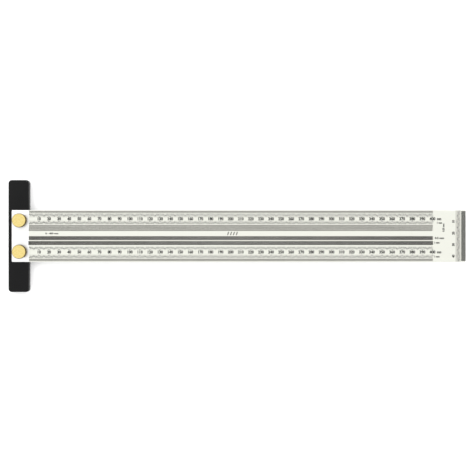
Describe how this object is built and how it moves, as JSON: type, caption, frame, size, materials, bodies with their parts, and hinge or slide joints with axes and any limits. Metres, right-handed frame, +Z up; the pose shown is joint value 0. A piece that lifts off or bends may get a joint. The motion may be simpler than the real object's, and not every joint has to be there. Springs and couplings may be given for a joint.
{
  "type": "perforated t-rule",
  "caption": "T-shaped marking-out rule: a black fence bar with a long perforated steel blade clamped in its pocket by two knurled brass thumbscrews.",
  "frame": {"origin": "on the fence face, at the scale's zero, on the blade's centre line and at the height of the blade's underside", "axes": "+X out along the blade from the fence face, +Y across the blade to the edge with the first numbered row, +Z up to the marked face and the thumbscrews"},
  "size_m": [0.4532, 0.111, 0.0198],
  "materials": {
    "anodised_black": "fine satin black anodising",
    "satin_steel": "satin stainless with black filled marks",
    "brass": "turned and knurled, bright"
  },
  "bodies": {
    "head": {"head_bar": "anodised_black", "rule_blade": "satin_steel"},
    "upper_washer": {"upper_washer": "brass"},
    "upper_thumbscrew": {"upper_thumbscrew": "brass"},
    "lower_washer": {"lower_washer": "brass"},
    "lower_thumbscrew": {"lower_thumbscrew": "brass"}
  },
  "joints": [
    {"name": "upper_screw_lift", "type": "slide", "parent": "head", "child": "upper_washer", "axis": [0, 0, 1], "range_m": [0, 0.0072]},
    {"name": "upper_screw_turn", "type": "hinge", "parent": "upper_washer", "child": "upper_thumbscrew", "pos_m": [-0.009, 0.0155, 0.0018], "axis": [0, 0, 1], "range_deg": [0, 3240]},
    {"name": "lower_screw_lift", "type": "slide", "parent": "head", "child": "lower_washer", "axis": [0, 0, 1], "range_m": [0, 0.0072]},
    {"name": "lower_screw_turn", "type": "hinge", "parent": "lower_washer", "child": "lower_thumbscrew", "pos_m": [-0.009, -0.0155, 0.0018], "axis": [0, 0, 1], "range_deg": [0, 3240]}
  ],
  "couplings": [
    {"joint": "upper_screw_lift", "follows": "upper_screw_turn", "m_per_rad": 0.00012732},
    {"joint": "lower_screw_lift", "follows": "lower_screw_turn", "m_per_rad": 0.00012732}
  ]
}
